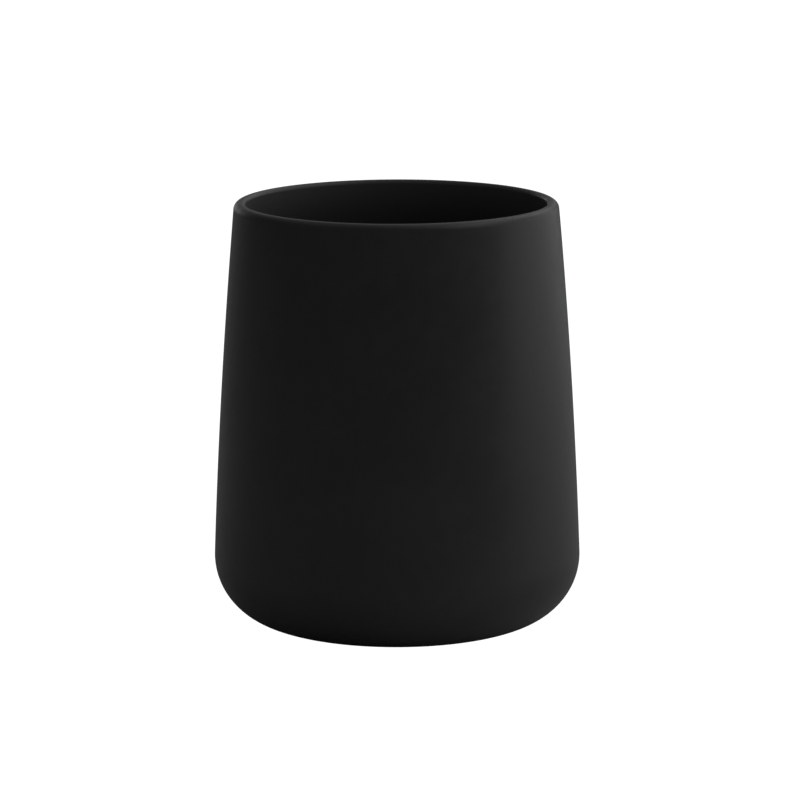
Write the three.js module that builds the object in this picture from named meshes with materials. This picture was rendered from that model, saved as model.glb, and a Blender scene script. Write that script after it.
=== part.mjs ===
// An empty candle jar: a slip-cast ceramic vessel with a full, rounded foot and sides that close in
// gently towards a rounded rim. Self-adhesive rubber pads sit in the shallow recess under its foot
// and stand a little proud of it, so the jar rests on rubber and not on bare ceramic.
//
// Units are millimetres and +Z is up. The origin is on the jar's axis, on the surface it stands on.

import * as THREE from 'three';

const { cos, sin, asin, min, PI } = Math;
const { degToRad, lerp } = THREE.MathUtils;

// ---- Jar body: outside ----
const jarHeight = 99; // the ceramic alone, from foot ring to rim
const widestRadius = 42.8; // at the top of the foot curve
const footRounding = 15.8; // the large curve from the foot into the side
const leanAtFoot = degToRad(2.1); // how far the side leans in where it leaves the foot curve
const leanAtRim = degToRad(5.1); // and where it meets the rim, so the side is very slightly bowed

// ---- Jar body: inside and rim ----
const wallThickness = 2.7;
const floorThickness = 5;
const insideRounding = 12; // between the inner wall and the floor
const rimOuterRounding = 1.7;
const rimInnerRounding = 0.9; // crisper than the outer one
const smallestRimLand = 0.1; // flat left between the two rim roundings

// ---- Jar body: underside ----
const footRingWidth = 3.5; // the flat ring that a kiln shelf carries, left without glaze
const footRingRounding = 0.5; // on the ring's inner edge
const recessDepth = 1.2;

// ---- Rubber pads ----
const padCount = 4;
const padRadius = 4.75;
const padThickness = 2;
const padRounding = 0.6;
const padEdgeClearance = 2; // from a pad's side to the wall of the recess
const adhesiveFilm = 0.2; // between a pad and the ceramic above it

// ---- How finely the round shapes are divided ----
const jarSegments = 72;
const padSegments = 32;
const largeArcSteps = 8;
const wallArcSteps = 6;
const smallArcSteps = 4;

// ---- Heights and radii that follow from the sizes above ----
const footHeight = padThickness + adhesiveFilm - recessDepth;
const rimHeight = footHeight + jarHeight;
const floorHeight = footHeight + floorThickness;
const recessHeight = footHeight + recessDepth;
const footRadius = widestRadius - footRounding;
const recessRadius = footRadius - footRingWidth;
const padCircleRadius = recessRadius - padEdgeClearance - padRadius;

/** The point at a distance from a centre, in a direction that rises by an angle from the outward one.
 * In an outline x is the distance from the jar's axis and y is the height. */
function pointAt(centre, distance, angle) {
  return new THREE.Vector2(centre.x + distance * cos(angle), centre.y + distance * sin(angle));
}

/** Points evenly spaced along a circular arc, both ends included. */
function arc(centre, radius, fromAngle, toAngle, steps) {
  return Array.from({ length: steps + 1 }, (_, step) =>
    pointAt(centre, radius, lerp(fromAngle, toAngle, step / steps)),
  );
}

/** Turns an outline that starts and ends on the axis into a closed body of revolution about +Z.
 * Where two arcs meet, the second one's first point repeats the last and is left out. */
function turned(outline, segments) {
  const apart = 1e-6;
  const points = outline.filter((point, index) => !index || point.distanceTo(outline[index - 1]) > apart);
  return new THREE.LatheGeometry(points, segments).rotateX(PI / 2);
}

/** The side's circular arc, seen in section. It leaves the foot curve and meets the rim rounding
 * without a corner, and its radius is the one that covers the height between them. */
function sideArc(footCentre) {
  const start = pointAt(footCentre, footRounding, leanAtFoot);
  const endHeight = rimHeight - rimOuterRounding * (1 - sin(leanAtRim));
  const radius = (endHeight - start.y) / (sin(leanAtRim) - sin(leanAtFoot));
  return { centre: pointAt(start, -radius, leanAtFoot), radius };
}

/** The centre of a rounding that touches the inner wall. Its distance from the centre of the side's
 * arc and its height are known, which gives the angle at which it touches. */
function insideCentre(side, distance, height) {
  const angle = asin((height - side.centre.y) / distance);
  return { centre: pointAt(side.centre, distance, angle), angle };
}

function jarBody() {
  const footCentre = new THREE.Vector2(footRadius, footHeight + footRounding);
  const side = sideArc(footCentre);
  const innerRadius = side.radius - wallThickness;

  const ringCentre = new THREE.Vector2(recessRadius + footRingRounding, footHeight + footRingRounding);
  const outerRim = pointAt(side.centre, side.radius - rimOuterRounding, leanAtRim);
  const innerRounding = min(rimInnerRounding, wallThickness - rimOuterRounding - smallestRimLand);
  const innerRim = insideCentre(side, innerRadius + innerRounding, rimHeight - innerRounding);
  const corner = insideCentre(side, innerRadius - insideRounding, floorHeight + insideRounding);

  const outline = [
    new THREE.Vector2(0, recessHeight),
    new THREE.Vector2(recessRadius, recessHeight),
    ...arc(ringCentre, footRingRounding, PI, PI * 1.5, smallArcSteps),
    ...arc(footCentre, footRounding, -PI / 2, leanAtFoot, largeArcSteps),
    ...arc(side.centre, side.radius, leanAtFoot, leanAtRim, wallArcSteps),
    ...arc(outerRim, rimOuterRounding, leanAtRim, PI / 2, smallArcSteps),
    ...arc(innerRim.centre, innerRounding, PI / 2, PI + innerRim.angle, smallArcSteps),
    ...arc(side.centre, innerRadius, innerRim.angle, corner.angle, wallArcSteps),
    ...arc(corner.centre, insideRounding, corner.angle, -PI / 2, largeArcSteps),
    new THREE.Vector2(0, floorHeight),
  ];
  const glaze = new THREE.MeshStandardMaterial({ color: 0x191a1a, roughness: 0.5, metalness: 0 });
  const jar = new THREE.Mesh(turned(outline, jarSegments), glaze);
  jar.name = 'jar_body';
  return jar;
}

/** A round pad, flat on both sides, with its lower edge rounded. */
function bumperPad(number) {
  const edgeCentre = new THREE.Vector2(padRadius - padRounding, padRounding);
  const outline = [
    new THREE.Vector2(0, 0),
    ...arc(edgeCentre, padRounding, -PI / 2, 0, smallArcSteps),
    new THREE.Vector2(padRadius, padThickness),
    new THREE.Vector2(0, padThickness),
  ];
  const rubber = new THREE.MeshStandardMaterial({ color: 0x0e0e0f, roughness: 0.8, metalness: 0 });
  const pad = new THREE.Mesh(turned(outline, padSegments), rubber);
  const angle = ((number - 0.5) / padCount) * 2 * PI;
  pad.name = `bumper_pad_${number}`;
  pad.position.set(padCircleRadius * cos(angle), padCircleRadius * sin(angle), 0);
  return pad;
}

const candleJar = new THREE.Group();
candleJar.add(jarBody());
for (let number = 1; number <= padCount; number += 1) {
  candleJar.add(bumperPad(number));
}

export default candleJar;
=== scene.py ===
# %% [markdown]
# # An empty candle jar
#
# The jar is one piece of slip-cast ceramic under a satin-matt black glaze. It has a full, rounded
# foot, sides that close in very gently, a rounded rim, and four rubber pads stuck in the shallow
# recess under its foot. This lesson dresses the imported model: every visible surface is worked out
# again as a fine one, in the same place and to the same sizes, and gets its finish.
#
# All lengths here are in metres, and sizes of the jar are written in millimetres times `MM`.

import bpy
import numpy as np
from mathutils import Matrix, Vector


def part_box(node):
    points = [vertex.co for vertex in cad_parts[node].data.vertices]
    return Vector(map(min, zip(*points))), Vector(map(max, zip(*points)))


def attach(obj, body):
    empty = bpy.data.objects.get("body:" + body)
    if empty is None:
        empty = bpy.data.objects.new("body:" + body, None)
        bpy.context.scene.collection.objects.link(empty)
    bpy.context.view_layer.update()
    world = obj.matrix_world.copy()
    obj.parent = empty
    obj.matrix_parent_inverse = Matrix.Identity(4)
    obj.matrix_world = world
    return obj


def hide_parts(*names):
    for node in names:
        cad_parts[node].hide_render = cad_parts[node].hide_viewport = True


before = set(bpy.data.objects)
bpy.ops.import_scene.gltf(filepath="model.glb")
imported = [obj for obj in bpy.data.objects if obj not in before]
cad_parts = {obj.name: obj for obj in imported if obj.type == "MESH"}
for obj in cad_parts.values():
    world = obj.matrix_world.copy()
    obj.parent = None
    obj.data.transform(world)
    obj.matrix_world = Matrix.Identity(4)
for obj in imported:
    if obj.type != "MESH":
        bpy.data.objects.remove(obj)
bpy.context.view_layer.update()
MM = 0.001
PADS = sorted(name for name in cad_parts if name.startswith("bumper_pad"))
print("CAD nodes:", sorted(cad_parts))

# %% [markdown]
# ## The sizes that both shapes share
#
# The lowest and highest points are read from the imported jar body, so the fine surface can't drift
# away from it. The curves between them can't be read from a box, so the few sizes that draw them are
# given again here, with the values that the model was designed with.

# %% Sizes of the jar body
jar_low, jar_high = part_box("jar_body")
foot_height = jar_low.z
rim_height = jar_high.z
widest_radius = 42.8 * MM
foot_rounding = 15.8 * MM
lean_at_foot = np.radians(2.1)
lean_at_rim = np.radians(5.1)
wall = 2.7 * MM
floor_thickness = 5.0 * MM
inside_rounding = 12.0 * MM
rim_outer_rounding = 1.7 * MM
rim_inner_rounding = 0.9 * MM
ring_width = 3.5 * MM
ring_rounding = 0.5 * MM
recess_depth = 1.2 * MM

floor_height = foot_height + floor_thickness
recess_height = foot_height + recess_depth
foot_radius = widest_radius - foot_rounding
recess_radius = foot_radius - ring_width
print(f"jar body from {foot_height / MM:.2f} to {rim_height / MM:.2f} mm high")

# %% [markdown]
# ## Drawing an outline from arcs
#
# A thrown or cast pot is drawn as half a section: a chain of arcs that run into each other without
# a corner. A Bezier curve could be pulled to the same shape by hand, but no radius could be read
# from it afterwards. An arc's points come from its centre, its radius and the angles it runs
# between, measured from the outward direction. Each stretch leaves out its last point, because the
# next one starts there.


# %% Arcs, seen in section
def point_at(centre, distance, angle):
    """(centre x + distance cos angle, centre y + distance sin angle). x is the distance from the
    jar's axis and y the height. The angle may be an array, which gives an array of points."""
    return np.asarray(centre) + distance * np.stack([np.cos(angle), np.sin(angle)], axis=-1)


def arc(centre, radius, start, end, count):
    """count points on a circle, from the start angle to just before the end angle."""
    return point_at(centre, radius, np.linspace(start, end, count, endpoint=False))


def line(start, end, count):
    """count points on a straight line, from its start to just before its end."""
    return np.linspace(start, end, count, endpoint=False)


print("an eighth of a turn round a 10 mm circle ends at", point_at((0, 0), 10, np.pi / 4).round(2).tolist())

# %% [markdown]
# ## The jar's section
#
# The side is one shallow arc. It leaves the foot curve at the first lean and reaches the rim
# rounding at the second, so its radius is the height it covers divided by the difference of the
# two leans' sines. The inner wall is the same arc, one wall thickness further in. The roundings
# that touch it have their centres at a known distance from the side's centre and at a known
# height, which gives the angle at which they touch.
#
# Points lie more closely where the curve is tight, because that is where a highlight would show a
# facet. A Subdivision Surface modifier could smooth a coarse section instead, but it would pull the
# surface inwards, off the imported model.

# %% The jar's section
SECTION_POINTS = {
    "recess": 12,
    "recess_wall": 2,
    "ring_rounding": 6,
    "ring": 3,
    "foot": 36,
    "side": 44,
    "outer_rim": 14,
    "inner_rim": 12,
    "inner_wall": 34,
    "inside_rounding": 22,
    "floor": 12,
}


def jar_outline(count):
    """The whole outline as an array of (radius, height), from the middle of the recess under the
    foot, out and up the side, over the rim, and down the inside to the middle of the floor."""
    foot_centre = np.array([foot_radius, foot_height + foot_rounding])
    side_start = point_at(foot_centre, foot_rounding, lean_at_foot)
    side_end = rim_height - rim_outer_rounding * (1 - np.sin(lean_at_rim))
    side_radius = (side_end - side_start[1]) / (np.sin(lean_at_rim) - np.sin(lean_at_foot))
    side_centre = point_at(side_start, -side_radius, lean_at_foot)
    inner_radius = side_radius - wall

    def touching(distance, height):
        """The centre at a distance from the side's centre and at a height, and the angle from the
        one to the other, whose sine is the difference in height divided by the distance."""
        angle = np.arcsin((height - side_centre[1]) / distance)
        return point_at(side_centre, distance, angle), angle

    ring_centre = (recess_radius + ring_rounding, foot_height + ring_rounding)
    outer_rim = point_at(side_centre, side_radius - rim_outer_rounding, lean_at_rim)
    inner_rim, rim_angle = touching(inner_radius + rim_inner_rounding, rim_height - rim_inner_rounding)
    corner, corner_angle = touching(inner_radius - inside_rounding, floor_height + inside_rounding)
    quarter = np.pi / 2
    return np.concatenate(
        [
            line((0, recess_height), (recess_radius, recess_height), count["recess"]),
            line((recess_radius, recess_height), (recess_radius, ring_centre[1]), count["recess_wall"]),
            arc(ring_centre, ring_rounding, 2 * quarter, 3 * quarter, count["ring_rounding"]),
            line((ring_centre[0], foot_height), (foot_radius, foot_height), count["ring"]),
            arc(foot_centre, foot_rounding, -quarter, lean_at_foot, count["foot"]),
            arc(side_centre, side_radius, lean_at_foot, lean_at_rim, count["side"]),
            arc(outer_rim, rim_outer_rounding, lean_at_rim, quarter, count["outer_rim"]),
            arc(inner_rim, rim_inner_rounding, quarter, 2 * quarter + rim_angle, count["inner_rim"]),
            arc(side_centre, inner_radius, rim_angle, corner_angle, count["inner_wall"]),
            arc(corner, inside_rounding, corner_angle, -quarter, count["inside_rounding"]),
            line((corner[0], floor_height), (0, floor_height), count["floor"]),
            [(0, floor_height)],
        ]
    )


outline = jar_outline(SECTION_POINTS)
print(f"the jar's section has {len(outline)} points")

# %% [markdown]
# ## From a section to a surface
#
# A surface of revolution is a function of two parameters: the place along the section and the
# angle about the axis. Blender's Screw modifier turns a section too. numpy is used here because it
# works out every ring at once, and because it leaves each ring free to swell a little later on.
#
# The first and last points lie on the axis, where a whole ring would shrink to one place, so each
# of those is a single vertex with a fan of triangles. The last column of faces joins up with the
# first, so there is no seam.


# %% Surfaces of revolution
def turned(name, section, segments, place=(0.0, 0.0), unevenness=None):
    """A closed body: each (r, h) of the section becomes a ring of points
    (x + r cos a, y + r sin a, h), for angles a evenly spaced through a full turn."""
    angle = np.linspace(0, 2 * np.pi, segments, endpoint=False)
    radius = section[1:-1, :1] * np.ones(segments)
    height = section[1:-1, 1:] * np.ones(segments)
    if unevenness is not None:
        radius = radius + unevenness(radius, height, angle)
    rings = np.stack([place[0] + radius * np.cos(angle), place[1] + radius * np.sin(angle), height], axis=-1)
    poles = [(*place, section[0, 1]), (*place, section[-1, 1])]
    points = np.concatenate([rings.reshape(-1, 3), poles])

    here = np.arange(rings.shape[0] * segments).reshape(-1, segments)
    beside = np.roll(here, -1, axis=1)
    quads = np.stack([here[:-1], beside[:-1], beside[1:], here[1:]], axis=-1).reshape(-1, 4)
    first_pole, last_pole = len(points) - 2, len(points) - 1
    first_fan = np.stack([np.full(segments, first_pole), beside[0], here[0]], axis=-1)
    last_fan = np.stack([np.full(segments, last_pole), here[-1], beside[-1]], axis=-1)

    mesh = bpy.data.meshes.new(name)
    mesh.from_pydata(points.tolist(), [], quads.tolist() + first_fan.tolist() + last_fan.tolist())
    mesh.shade_smooth()
    piece = bpy.data.objects.new(name, mesh)
    bpy.context.scene.collection.objects.link(piece)
    print(f"{name}: {len(points)} points, {len(mesh.polygons)} faces")
    return piece


# %% [markdown]
# ## A hand-sponged surface
#
# A slip-cast pot is sponged by hand before it is fired, and it dries and shrinks a little
# unevenly. So the radius swells and shrinks by a few hundredths of a millimetre in slow waves
# round the pot. It is far too little to measure with a ruler, but it keeps the long highlights
# from being perfectly straight. A Displace modifier with a noise texture could do it, but it moves
# points up and down too, and the foot ring and the rim would no longer be level.
#
# The waves are sums of a few cosines in the angle, whose phase drifts with the height. They fade
# out towards the axis, and to a quarter at the rim, which is trimmed with a knife before firing.

# %% A hand-sponged surface
JAR_SEGMENTS = 384
# Each wave: how many go round the pot, depth in mm, drift in radians a metre, phase in radians
WAVES = ((2, 0.030, 14.0, 0.4), (3, 0.022, -23.0, 1.9), (5, 0.012, 41.0, 3.1), (9, 0.005, -67.0, 5.2))
TRIMMED_DEPTH = 8 * MM  # the waves fade over this distance below the rim
TRIMMED_SHARE = 0.25  # what is left of them at the rim


def sponged(radius, height, angle):
    """The sum of depth x cos(count x angle + height x drift + phase) over the waves, times how far
    out the point is, and times how far it is below the rim."""
    total = np.zeros_like(radius)
    for count, depth, drift, phase in WAVES:
        total = total + depth * MM * np.cos(count * angle + height * drift + phase)
    outward = np.clip(radius / widest_radius, 0, 1)
    below_rim = np.clip((rim_height - height) / TRIMMED_DEPTH, TRIMMED_SHARE, 1)
    return total * outward * below_rim


jar = turned("ceramic_jar", outline, JAR_SEGMENTS, unevenness=sponged)
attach(jar, "root")
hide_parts("jar_body")

# %% [markdown]
# ## Telling the inside from the outside
#
# The two sides of the wall are coloured in different ways, because the inside carries a paler black
# that is painted light, and they lie less than 3 mm apart. A mask made from the position would have
# to follow that thin wall exactly. The distance along the section from the top of the rim says it at
# once: it is negative outside and positive inside. It is kept on the mesh as an attribute, which the
# jar's finish reads.


# %% Distance past the rim
def past_top(section):
    """Metres along the section from its highest point: negative before it and positive after."""
    steps = np.linalg.norm(np.diff(section, axis=0), axis=1)
    travelled = np.concatenate([[0], np.cumsum(steps)])
    return travelled - travelled[np.argmax(section[:, 1])]


distance = past_top(outline)
kept = jar.data.attributes.new("past_top", "FLOAT", "POINT")
kept.data.foreach_set("value", np.append(np.repeat(distance[1:-1], JAR_SEGMENTS), distance[[0, -1]]))
print(f"past_top runs from {distance.min() / MM:.1f} to {distance.max() / MM:.1f} mm")

# %% [markdown]
# ## The rubber pads
#
# Each pad is a moulded disc with a rounded lower edge and a slightly hollow face, which is how
# stick-on pads come out of their mould. A cylinder with a Bevel modifier would give the edge, but
# not the hollow. A thin film of adhesive fills the gap above it, so the fine piece reaches up to the
# ceramic. The pads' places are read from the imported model.

# %% The pads
PAD_SEGMENTS = 96
PAD_ROUNDING = 0.6 * MM
PAD_HOLLOW = 0.08 * MM
FILM_INSET = 0.25 * MM
PAD_POINTS = {"face": 10, "edge": 10, "side": 4, "step": 2, "film": 2, "top": 4}


def pad_outline(radius, low, high, count):
    """From the middle of the lower face, out to its rounded edge, up the side, in over the step to
    the adhesive film, and back to the axis. The face is hollow by a parabola: PAD_HOLLOW in the
    middle, less by the square of the distance from it, and nothing at the edge."""
    edge_centre = (radius - PAD_ROUNDING, low + PAD_ROUNDING)
    flat = line((0.0, 0.0), (edge_centre[0], 0.0), count["face"])
    dish = PAD_HOLLOW * (1 - (flat[:, 0] / edge_centre[0]) ** 2)
    hollow = np.stack([flat[:, 0], low + dish], axis=-1)
    film = radius - FILM_INSET
    return np.concatenate(
        [
            hollow,
            arc(edge_centre, PAD_ROUNDING, -np.pi / 2, 0, count["edge"]),
            line((radius, edge_centre[1]), (radius, high), count["side"]),
            line((radius, high), (film, high), count["step"]),
            line((film, high), (film, recess_height), count["film"]),
            line((film, recess_height), (0, recess_height), count["top"]),
            [(0, recess_height)],
        ]
    )


pads = []
for node in PADS:
    low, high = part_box(node)
    middle = (low + high) / 2
    section = pad_outline((high.x - low.x) / 2, low.z, high.z, PAD_POINTS)
    pad = turned(node.replace("bumper", "rubber"), section, PAD_SEGMENTS, place=(middle.x, middle.y))
    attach(pad, "root")
    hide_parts(node)
    pads.append(pad)

# %% [markdown]
# ## Shader maths as Python expressions
#
# A finish is a small sum: so much glaze here, so much bare clay there, a little noise on top.
# Written node by node such a sum is hard to read, so a small class stands for "a number that
# changes over the surface" and builds the Math nodes when it is added, multiplied or subtracted.


# %% Numbers that change over a surface
class Number:
    """A number, colour or direction that changes over a surface: one output of a shader node."""

    def __init__(self, finish, socket):
        self.finish = finish
        self.socket = socket

    def maths(self, operation, first, second):
        return self.finish.node("ShaderNodeMath", {"operation": operation}, {0: first, 1: second})

    def __add__(self, other):
        return self.maths("ADD", self, other)

    def __sub__(self, other):
        return self.maths("SUBTRACT", self, other)

    def __mul__(self, other):
        return self.maths("MULTIPLY", self, other)

    def __rsub__(self, other):
        return self.maths("SUBTRACT", other, self)

    __radd__ = __add__
    __rmul__ = __mul__


# %% [markdown]
# ## A finish and its nodes
#
# A finish is a material with a Principled shader, and every other node in it feeds that shader. One
# method makes any node. Its settings come first, because they decide which sockets it has, and then
# each socket gets a constant or a link. The short methods after it are the few combinations that
# the finishes of this jar are written with.

# %% A finish and its nodes
# A Mix node has sockets for every kind of data: first input, second input and output
MIX_SOCKETS = {"RGBA": (6, 7, 2), "VECTOR": (4, 5, 1)}


class Finish:
    """A material with a Principled shader, and the nodes that feed it."""

    def __init__(self, name):
        self.material = bpy.data.materials.new(name)
        self.material.use_nodes = True
        self.tree = self.material.node_tree
        self.shader = self.tree.nodes["Principled BSDF"]

    def feed(self, socket, value):
        """Links a changing value to a socket, or sets a constant on it."""
        if isinstance(value, Number):
            self.tree.links.new(value.socket, socket)
        else:
            socket.default_value = value

    def node(self, kind, settings=None, inputs=None, output=0):
        """Any node: its settings are set first, then its sockets get their values or links."""
        made = self.tree.nodes.new(kind)
        for name, value in (settings or {}).items():
            setattr(made, name, value)
        for name, value in (inputs or {}).items():
            self.feed(made.inputs[name], value)
        return Number(self, made.outputs[output])

    def set(self, **inputs):
        """Sockets of the Principled shader, with their spaces written as underscores."""
        for name, value in inputs.items():
            self.feed(self.shader.inputs[name.replace("_", " ")], value)

    def position(self):
        return self.node("ShaderNodeTexCoord", output="Object")

    def height(self, position):
        return self.node("ShaderNodeSeparateXYZ", inputs={0: position}, output="Z")

    def axis_distance(self, position):
        """The length of the position once its height is multiplied by 0."""
        flat = self.node("ShaderNodeVectorMath", {"operation": "MULTIPLY"}, {0: position, 1: (1, 1, 0)})
        return self.node("ShaderNodeVectorMath", {"operation": "LENGTH"}, {0: flat}, output="Value")

    def noise(self, position, size, detail=2.0, roughness=0.5):
        """Soft, cloudy noise around 0.5, with features about as wide as size, in metres."""
        inputs = {"Vector": position, "Scale": 1 / size, "Detail": detail, "Roughness": roughness}
        return self.node("ShaderNodeTexNoise", inputs=inputs)

    def rise(self, value, low, high):
        """0 below low, 1 above high, and a smooth step between."""
        inputs = {"Value": value, "From Min": low, "From Max": high}
        return self.node("ShaderNodeMapRange", {"interpolation_type": "SMOOTHSTEP"}, inputs)

    def blend(self, mask, below, above, kind="RGBA"):
        """The first colour or direction where the mask is 0, and the second where it is 1."""
        first, second, output = MIX_SOCKETS[kind]
        inputs = {"Factor": mask, first: below, second: above}
        return self.node("ShaderNodeMix", {"data_type": kind}, inputs, output)

    def bump(self, height, distance, normal=None):
        """A normal tilted by a height that runs from 0 to 1 over that distance in metres, and laid
        over another normal if one is given."""
        inputs = {"Height": height, "Distance": distance}
        if normal is not None:
            inputs["Normal"] = normal
        return self.node("ShaderNodeBump", inputs=inputs)


# %% [markdown]
# ## The glaze and the bare clay
#
# A satin-matt glaze is glass filled with crystals too small to see. It has no texture that can be
# picked out from a step away, only a soft sheen that is never quite even: it lies a little thicker
# in some places than in others, runs thin over the rim, and cools with a faint orange-peel skin.
# A kiln shelf would stick to it, so it is wiped off the foot ring, where the pale clay shows.
#
# The outside is sprayed. The inside has a paler, greyer black, which is painted light: it stands in
# for the light that comes in through the mouth. It is palest just below the lip and darker deeper in,
# which is painted light near the opening and painted shade further down.
#
# Each finish could be a material of its own on its own faces, but the borders would then follow the
# mesh in straight steps. So all of it is one material, as it is one fired surface. Masks made from
# the height, the distance from the axis and the distance past the rim say where each part is, and
# noise keeps their edges from being exact.

# %% The jar's colours and scales
BLACK_GLAZE = (0.0460, 0.0456, 0.0450, 1.0)
BLACK_GLAZE_DEEP = (0.0378, 0.0374, 0.0370, 1.0)
THIN_GLAZE = (0.0520, 0.0500, 0.0480, 1.0)
# The two inside colours are painted light: a paler black inside, and paler still just below the lip
INSIDE_GLAZE_PAINTED_LIGHT = (0.0540, 0.0540, 0.0530, 1.0)
PAINTED_LIGHT_BELOW_LIP = (0.1000, 0.0990, 0.0970, 1.0)
BARE_CLAY = (0.42, 0.36, 0.29, 1.0)
CLAY_SPECK = (0.20, 0.15, 0.11, 1.0)

# How wide the features of each noise are, and how deep the bumps
CLOUD_SIZE = 22 * MM
MOTTLE_SIZE = 3.5 * MM
PEEL_SIZE = 1.6 * MM
SPECK_SIZE = 0.7 * MM
GRAIN_SIZE = 0.28 * MM
PEEL_DEPTH = 0.012 * MM
GLAZE_GRAIN_DEPTH = 0.005 * MM
CLAY_GRAIN_DEPTH = 0.09 * MM

# Roughness, and how much of it changes with the clouds, the mottle and the thin glaze of the rim
GLAZE_ROUGHNESS = 0.40
CLOUD_SHEEN = 0.13
MOTTLE_SHEEN = 0.11
THIN_SHEEN = 0.05
CLAY_ROUGHNESS = 0.9
GLAZE_IOR = 1.5

# How the two blacks share the surface, how far the rim's glaze is thinned, and what makes a speck
CLOUD_SHARE = 0.65
MOTTLE_SHARE = 0.35
PATCH_EDGE = (0.36, 0.64)
THIN_SHARE = 0.8
SPECK_EDGE = (0.64, 0.72)

# Where one finish gives way to the next: the change starts at the first and is complete at the second
WIPED_RADIUS = (foot_radius + 0.7 * MM, foot_radius + 0.7 * MM + 0.25 * MM)
WIPED_HEIGHT = (foot_height + 0.6 * MM, foot_height + 0.75 * MM)
RIM_THINNING = (rim_height - 0.9 * MM, rim_height + 0.1 * MM)
INSIDE_START = (0.2 * MM, 1.6 * MM)  # past the rim
# Painted light: the paler band below the lip fades out between these two distances past the rim
PAINTED_LIGHT_FADE = (1.5 * MM, 11.0 * MM)  # past the rim

# How far noise moves those borders: slowly, raggedly, and raggedly at the rim. The border on the
# side of the foot ring takes only a share of it, and the edge of the painted light below the lip takes more.
SLOW_WOBBLE = 1.6 * MM
RAGGED_WOBBLE = 0.5 * MM
RIM_WOBBLE = 0.6 * MM
RING_SIDE_SHARE = 0.2
PAINTED_LIGHT_WOBBLE_SHARE = 1.5
print(f"the wiped ring ends {WIPED_RADIUS[0] / MM:.1f} mm from the axis")


# %% [markdown]
# The colour is worked out coat by coat. Each coat, and the mask of the bare ring, has a short
# function of its own.


# %% The jar's masks and colour
def wiped_ring(finish, height, radius, wobble):
    """1 on the foot ring and 0 on the glaze: below one border and inside another."""
    above = finish.rise(height + wobble * RING_SIDE_SHARE, *WIPED_HEIGHT)
    beyond = finish.rise(radius + wobble, *WIPED_RADIUS)
    return (1 - above) * (1 - beyond)


def sprayed_coat(finish, clouds, mottle, thin):
    """Two blacks in soft patches, and a browner one where the glaze runs thin over the rim."""
    patches = finish.rise(clouds * CLOUD_SHARE + mottle * MOTTLE_SHARE, *PATCH_EDGE)
    coat = finish.blend(patches, BLACK_GLAZE_DEEP, BLACK_GLAZE)
    return finish.blend(thin * THIN_SHARE, coat, THIN_GLAZE)


def inside_coat_painted_light(finish, past_rim, wobble):
    """A paler black inside, palest just past the rim: painted light near the mouth, darker deeper in."""
    painted_light_band = 1 - finish.rise(past_rim + wobble * PAINTED_LIGHT_WOBBLE_SHARE, *PAINTED_LIGHT_FADE)
    return finish.blend(painted_light_band, INSIDE_GLAZE_PAINTED_LIGHT, PAINTED_LIGHT_BELOW_LIP)


def speckled_clay(finish, position):
    """Pale clay with small dark specks, where the noise is at its highest."""
    speck = finish.rise(finish.noise(position, SPECK_SIZE, detail=1), *SPECK_EDGE)
    return finish.blend(speck, BARE_CLAY, CLAY_SPECK)


# %% [markdown]
# The sheen is a roughness that drifts with the same clouds and mottle as the colour. The skin is
# two bumps, one laid over the other: a slow orange peel and a very fine grain. The clay has the
# grain alone, but much deeper.


# %% The jar's finish
def glazed_ceramic():
    """One fired surface: sprayed outside, a paler inside with painted light below the lip, and wiped bare on
    the foot ring.
    """
    finish = Finish("satin_black_glaze")
    position = finish.position()
    height = finish.height(position)
    radius = finish.axis_distance(position)
    past_rim = finish.node("ShaderNodeAttribute", {"attribute_name": "past_top"}, output="Fac")

    clouds = finish.noise(position, CLOUD_SIZE, detail=3)
    mottle = finish.noise(position, MOTTLE_SIZE, detail=3)
    peel = finish.noise(position, PEEL_SIZE, detail=1)
    grain = finish.noise(position, GRAIN_SIZE, detail=2, roughness=0.6)

    wobble = (clouds - 0.5) * SLOW_WOBBLE + (mottle - 0.5) * RAGGED_WOBBLE
    bare = wiped_ring(finish, height, radius, wobble)
    thin = finish.rise(height + (mottle - 0.5) * RIM_WOBBLE, *RIM_THINNING)
    inside = finish.rise(past_rim, *INSIDE_START)
    outside_coat = sprayed_coat(finish, clouds, mottle, thin)
    # The inside's paler black and its paler band below the lip are painted light, not a different glaze
    glaze = finish.blend(inside, outside_coat, inside_coat_painted_light(finish, past_rim, wobble))

    drift = (clouds - 0.5) * CLOUD_SHEEN + (mottle - 0.5) * MOTTLE_SHEEN
    sheen = GLAZE_ROUGHNESS + drift + thin * THIN_SHEEN
    skin = finish.bump(peel, PEEL_DEPTH)
    glaze_skin = finish.bump(grain, GLAZE_GRAIN_DEPTH, normal=skin)
    clay_skin = finish.bump(grain, CLAY_GRAIN_DEPTH)
    finish.set(
        Base_Color=finish.blend(bare, glaze, speckled_clay(finish, position)),
        Roughness=sheen * (1 - bare) + bare * CLAY_ROUGHNESS,
        Normal=finish.blend(bare, glaze_skin, clay_skin, kind="VECTOR"),
        IOR=GLAZE_IOR,
    )
    return finish.material


jar.data.materials.append(glazed_ceramic())
print("glaze made for", jar.name)

# %% [markdown]
# ## The rubber
#
# The pads are cut or moulded from soft black rubber. It is matt, with the fine grain of the mould,
# and it is rubbed slightly paler where it has touched a table. One material serves all four, because
# its noise is fixed in space and so falls differently on each pad.

# %% The pads' finish
BLACK_RUBBER = (0.018, 0.018, 0.019, 1.0)
RUBBED_RUBBER = (0.040, 0.039, 0.038, 1.0)
DUST_SIZE = 2.5 * MM
MOULD_GRAIN_SIZE = 0.15 * MM
MOULD_GRAIN_DEPTH = 0.02 * MM
RUBBED_HEIGHT = (0.05 * MM, 0.4 * MM)  # fully rubbed below the first, and not at all above the second
DUST_EDGE = (0.35, 0.7)
RUBBER_ROUGHNESS = 0.68
RUBBED_SHEEN = 0.12  # how much rougher the rubber is where it is rubbed
DUST_SHEEN = 0.1  # and how much its roughness changes with the dust
RUBBER_IOR = 1.5


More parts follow.
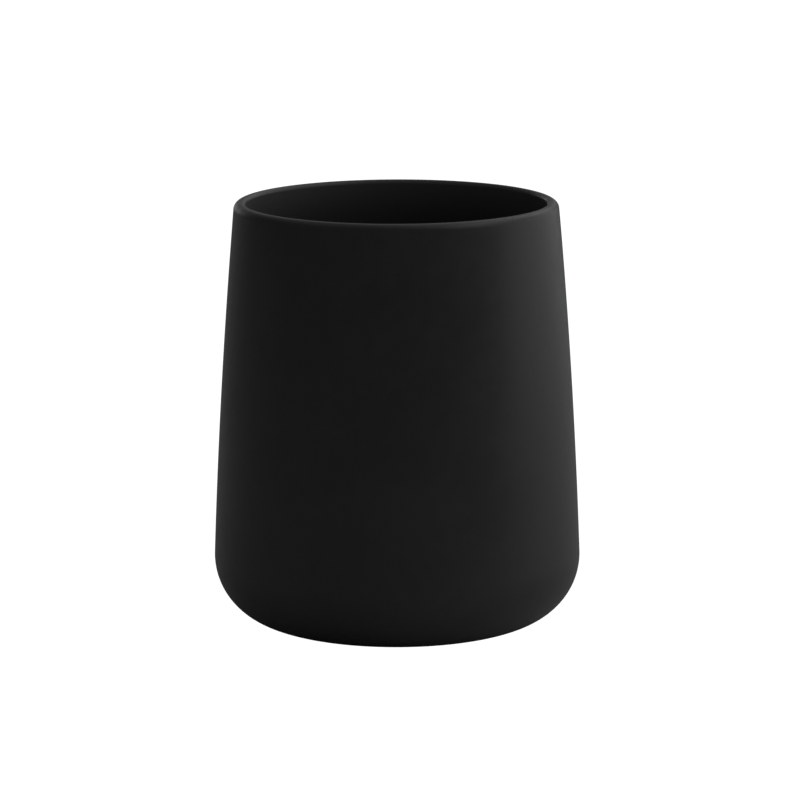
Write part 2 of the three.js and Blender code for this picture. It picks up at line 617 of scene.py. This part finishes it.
def moulded_rubber():
    """Matt black rubber with a fine grain, paler in patches near its lower face."""
    finish = Finish("matt_black_rubber")
    position = finish.position()
    dust = finish.noise(position, DUST_SIZE, detail=4, roughness=0.6)
    grain = finish.noise(position, MOULD_GRAIN_SIZE, detail=2)
    near_table = 1 - finish.rise(finish.height(position), *RUBBED_HEIGHT)
    rubbed = near_table * finish.rise(dust, *DUST_EDGE)
    finish.set(
        Base_Color=finish.blend(rubbed, BLACK_RUBBER, RUBBED_RUBBER),
        Roughness=RUBBER_ROUGHNESS + rubbed * RUBBED_SHEEN + (dust - 0.5) * DUST_SHEEN,
        Normal=finish.bump(grain, MOULD_GRAIN_DEPTH),
        IOR=RUBBER_IOR,
    )
    return finish.material


rubber = moulded_rubber()
for pad in pads:
    pad.data.materials.append(rubber)
print("rubber made for", len(pads), "pads")

# %% [markdown]
# ## A white stage
#
# The jar is shown on plain white, with nothing round it. A black surface on a white floor would be
# washed out by the floor's reflection, so the two jobs are split. The floor and the walls that the
# camera sees are a box of even white light, which nothing else sees. What lights the jar, and what
# its dark glaze mirrors, is a set of its own: a pale table top and softboxes in a dim room. The
# box is large enough for the camera to move round in, and small enough to lie within the distance
# at which a camera stops drawing.

# %% What the camera sees behind the jar
STAGE_HALF_WIDTH = 2.5
STAGE_HEIGHT = 4.0
STAGE_GLOW = 1.1  # a little over white, so that the white is even into the corners
TABLE_HALF_WIDTH = 0.6
TABLE_ROUGHNESS = 0.8
WHITE = (1, 1, 1, 1)
BLACK = (0, 0, 0, 1)
TABLE_GREY = (0.60, 0.60, 0.60, 1)


def stage_piece(name, corners, faces, rays, **sockets):
    """Part of the set: a plain mesh that only the named kinds of ray can see."""
    mesh = bpy.data.meshes.new(name)
    mesh.from_pydata(corners, [], faces)
    piece = bpy.data.objects.new(name, mesh)
    bpy.context.scene.collection.objects.link(piece)
    for kind in ("camera", "diffuse", "glossy", "transmission", "volume_scatter", "shadow"):
        setattr(piece, f"visible_{kind}", kind in rays)
    material = bpy.data.materials.new(name)
    material.use_nodes = True
    for socket, value in sockets.items():
        material.node_tree.nodes["Principled BSDF"].inputs[socket.replace("_", " ")].default_value = value
    mesh.materials.append(material)
    print(f"{name}: seen by {', '.join(rays)} rays")


def square(half_width, height):
    """The four corners of a level square about the axis, anticlockwise from above."""
    signs = ((-1, -1), (1, -1), (1, 1), (-1, 1))
    return [(x * half_width, y * half_width, height) for x, y in signs]


box_corners = square(STAGE_HALF_WIDTH, 0) + square(STAGE_HALF_WIDTH, STAGE_HEIGHT)
box_walls = [(side, side + 4, (side + 1) % 4 + 4, (side + 1) % 4) for side in range(4)]
stage_piece(
    "white_stage",
    box_corners,
    [(0, 1, 2, 3), (7, 6, 5, 4), *box_walls],
    rays=("camera",),
    Base_Color=BLACK,
    Specular_IOR_Level=0.0,
    Emission_Color=WHITE,
    Emission_Strength=STAGE_GLOW,
)
stage_piece(
    "table_top",
    square(TABLE_HALF_WIDTH, 0),
    [(0, 1, 2, 3)],
    rays=("diffuse", "glossy"),
    Base_Color=TABLE_GREY,
    Roughness=TABLE_ROUGHNESS,
)

# %% [markdown]
# ## Softboxes
#
# A dark, satin thing shows its shape mostly by what it mirrors, so light is placed where the eye
# should find an edge. Three boxes to the right draw the broad soft highlight and its fading towards
# the middle, and a very weak one at the front left lifts the other side a little. Three behind
# brighten the two outlines, where a glaze mirrors most. Four overhead fill the curve of the rim,
# which would otherwise show each box as a stripe of its own. Straight in front there is only the dim
# room, so the middle stays black. The light of every box is very slightly green.
#
# Point lamps would be simpler, but a satin glaze would show each one as a small blurred spot. A
# rectangle of light shows as the long soft shape that such a pot has in a studio.


# %% Softboxes and the dim room
BOX_DISTANCE = 1.0
BOX_COLOUR = (0.965, 1.0, 0.98)
ROOM_GREY = (0.066, 0.066, 0.066, 1)


def direction_to(azimuth, elevation):
    """(sin a cos e, -cos a cos e, sin e): the direction from the jar to something at an azimuth a,
    from straight in front of it towards its right, and an elevation e, both in degrees."""
    around, up = np.radians(azimuth), np.radians(elevation)
    return Vector((np.sin(around) * np.cos(up), -np.cos(around) * np.cos(up), np.sin(up)))


def softbox(name, azimuth, elevation, width, height, brightness):
    """A rectangular light facing the jar, whose brightness is the radiance of its face."""
    direction = direction_to(azimuth, elevation)
    light = bpy.data.lights.new(name, "AREA")
    light.color = BOX_COLOUR
    light.shape = "RECTANGLE"
    light.size = width
    light.size_y = height
    light.energy = brightness * np.pi * width * height
    box = bpy.data.objects.new(name, light)
    box.location = jar_middle + direction * BOX_DISTANCE
    box.rotation_euler = direction.to_track_quat("Z", "Y").to_euler()
    box.visible_camera = False
    bpy.context.scene.collection.objects.link(box)


jar_middle = Vector((0, 0, (foot_height + rim_height) / 2))

# name: azimuth and elevation in degrees, width and height in metres, brightness
SOFTBOXES = {
    "right_high": (95, 32, 1.40, 0.50, 0.36),
    "right_low": (115, 5, 1.60, 0.50, 0.53),
    "front_right": (55, 38, 0.30, 1.00, 0.26),
    "front_left": (-50, 22, 1.00, 0.45, 0.05),
    "back": (180, 26, 0.60, 1.00, 0.20),
    "back_right": (150, 32, 0.50, 0.50, 0.72),
    "back_left": (-155, 8, 0.40, 0.30, 0.70),
    "overhead_right": (90, 56, 0.90, 0.36, 0.80),
    "overhead_back": (150, 62, 0.50, 0.40, 0.43),
    "overhead_left": (-100, 60, 0.90, 0.36, 0.13),
    "overhead": (60, 84, 0.70, 0.60, 0.10),
}
for place, values in SOFTBOXES.items():
    softbox(f"softbox_{place}", *values)
print(len(SOFTBOXES), "softboxes")

world = bpy.data.worlds.new("dim_room")
bpy.context.scene.world = world
world.use_nodes = True
world.node_tree.nodes["Background"].inputs["Color"].default_value = ROOM_GREY
bpy.context.scene.view_settings.view_transform = "Standard"

# %% [markdown]
# ## The camera
#
# A long lens a metre away, looking down at the jar by about eleven degrees. The small shift puts
# the jar where it belongs in the frame without tilting the view, as aiming the camera off the jar's
# middle would.

# %% Camera
CAMERA_ELEVATION = 11.08  # degrees
CAMERA_DISTANCE = 0.990
CAMERA_LENS = 190.8  # millimetres
SENSOR_WIDTH = 36  # millimetres
CAMERA_ROLL = np.radians(-0.16)
CAMERA_SHIFT = (0.00395, 0.01373)  # as a share of the sensor's width

towards_camera = direction_to(0, CAMERA_ELEVATION)
camera_data = bpy.data.cameras.new("camera")
camera_data.sensor_width = SENSOR_WIDTH
camera_data.lens = CAMERA_LENS
camera_data.shift_x, camera_data.shift_y = CAMERA_SHIFT
camera = bpy.data.objects.new("camera", camera_data)
stand = Matrix.Translation(jar_middle + towards_camera * CAMERA_DISTANCE)
turn = towards_camera.to_track_quat("Z", "Y").to_matrix().to_4x4()
camera.matrix_world = stand @ turn @ Matrix.Rotation(CAMERA_ROLL, 4, "Z")
bpy.context.scene.collection.objects.link(camera)
bpy.context.scene.camera = camera
print("camera at", tuple(round(v, 4) for v in camera.location))

# %% [markdown]
# ## The end
#
# The fine pieces have to stay in the imported model's box, give or take the few hundredths of a
# millimetre of the sponged surface.


bpy.context.view_layer.update()
